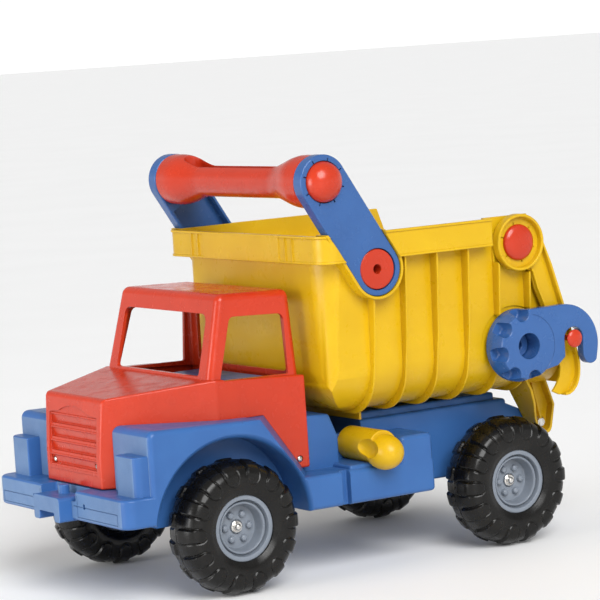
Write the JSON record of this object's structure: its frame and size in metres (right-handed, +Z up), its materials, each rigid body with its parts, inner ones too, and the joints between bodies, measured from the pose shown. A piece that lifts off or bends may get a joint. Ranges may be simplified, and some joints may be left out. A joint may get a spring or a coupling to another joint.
{
  "type": "push along truck",
  "caption": "Large moulded toy tipper truck with a push handle over its bed, a tipping bed, a hooked swinging tailgate, a bed lock lever and rolling wheels.",
  "frame": {"origin": "on the ground under the middle of the truck", "axes": "+X towards the bumper, +Y towards the truck's own left, +Z up"},
  "size_m": [0.6434, 0.3808, 0.4758],
  "materials": {
    "red_plastic": "glossy injection moulded plastic, orange red",
    "blue_plastic": "satin moulded plastic, mid blue",
    "yellow_plastic": "satin moulded plastic, warm yellow",
    "tyre_plastic": "glossy hollow moulded plastic, black",
    "hub_plastic": "satin moulded plastic, blue grey",
    "zinc_steel": "bright zinc plated steel"
  },
  "bodies": {
    "truck_base": {"bed_pivot_nut_left": "zinc_steel", "bed_pivot_nut_right": "zinc_steel", "bed_pivot_rod": "zinc_steel", "cab_screw_left": "zinc_steel", "cab_screw_right": "zinc_steel", "cab_shell": "red_plastic", "chassis": "blue_plastic", "front_axle": "zinc_steel", "front_left_axle_cap": "zinc_steel", "front_left_spacer": "tyre_plastic", "front_right_axle_cap": "zinc_steel", "front_right_spacer": "tyre_plastic", "grille_screw_left": "zinc_steel", "grille_screw_right": "zinc_steel", "rear_axle": "zinc_steel", "rear_left_axle_cap": "zinc_steel", "rear_left_spacer": "tyre_plastic", "rear_right_axle_cap": "zinc_steel", "rear_right_spacer": "tyre_plastic"},
    "front_left_wheel": {"front_left_tyre": "tyre_plastic", "front_left_hub": "hub_plastic"},
    "front_right_wheel": {"front_right_tyre": "tyre_plastic", "front_right_hub": "hub_plastic"},
    "rear_left_wheel": {"rear_left_tyre": "tyre_plastic", "rear_left_hub": "hub_plastic"},
    "rear_right_wheel": {"rear_right_tyre": "tyre_plastic", "rear_right_hub": "hub_plastic"},
    "lock_lever": {"lock_shaft": "zinc_steel", "lock_grip_left": "yellow_plastic", "lock_grip_right": "yellow_plastic", "lock_cam": "blue_plastic"},
    "tipping_bed": {"bed": "yellow_plastic", "handle_arm_left": "blue_plastic", "handle_arm_right": "blue_plastic", "handle_plug_left": "red_plastic", "handle_plug_right": "red_plastic", "grip_ball_left": "red_plastic", "grip_ball_right": "red_plastic", "handle_grip": "red_plastic", "latch_stud_left": "blue_plastic", "latch_stud_right": "blue_plastic"},
    "tailgate_door": {"tailgate": "yellow_plastic", "gate_pivot_left": "red_plastic", "gate_pivot_right": "red_plastic", "latch_pin_left": "red_plastic", "latch_pin_right": "red_plastic"},
    "hook_lever_left": {"latch_lever_left": "blue_plastic"},
    "hook_lever_right": {"latch_lever_right": "blue_plastic"}
  },
  "joints": [
    {"name": "front_left_roll", "type": "hinge", "parent": "truck_base", "child": "front_left_wheel", "pos_m": [0.164, 0, 0.0755], "axis": [0, 1, 0], "continuous": true},
    {"name": "front_right_roll", "type": "hinge", "parent": "truck_base", "child": "front_right_wheel", "pos_m": [0.164, 0, 0.0755], "axis": [0, 1, 0], "continuous": true},
    {"name": "rear_left_roll", "type": "hinge", "parent": "truck_base", "child": "rear_left_wheel", "pos_m": [-0.209, 0, 0.0755], "axis": [0, 1, 0], "continuous": true},
    {"name": "rear_right_roll", "type": "hinge", "parent": "truck_base", "child": "rear_right_wheel", "pos_m": [-0.209, 0, 0.0755], "axis": [0, 1, 0], "continuous": true},
    {"name": "bed_tip", "type": "hinge", "parent": "truck_base", "child": "tipping_bed", "pos_m": [-0.294, 0, 0.1295], "axis": [0, -1, 0], "range_deg": [0, 45]},
    {"name": "lock_lever_turn", "type": "hinge", "parent": "truck_base", "child": "lock_lever", "pos_m": [-0.0274, 0, 0.1395], "axis": [0, 1, 0], "range_deg": [0, 60]},
    {"name": "gate_swing", "type": "hinge", "parent": "tipping_bed", "child": "tailgate_door", "pos_m": [-0.2285, 0, 0.3535], "axis": [0, 1, 0], "range_deg": [0, 20]},
    {"name": "hook_left_turn", "type": "hinge", "parent": "tipping_bed", "child": "hook_lever_left", "pos_m": [-0.2217, 0.1575, 0.2341], "axis": [0, 1, 0], "range_deg": [0, 160]},
    {"name": "hook_right_turn", "type": "hinge", "parent": "tipping_bed", "child": "hook_lever_right", "pos_m": [-0.2217, -0.1575, 0.2341], "axis": [0, 1, 0], "range_deg": [0, 160]}
  ],
  "couplings": [
    {"joint": "hook_left_turn", "follows": "gate_swing", "ratio": 8},
    {"joint": "hook_right_turn", "follows": "gate_swing", "ratio": 8}
  ]
}
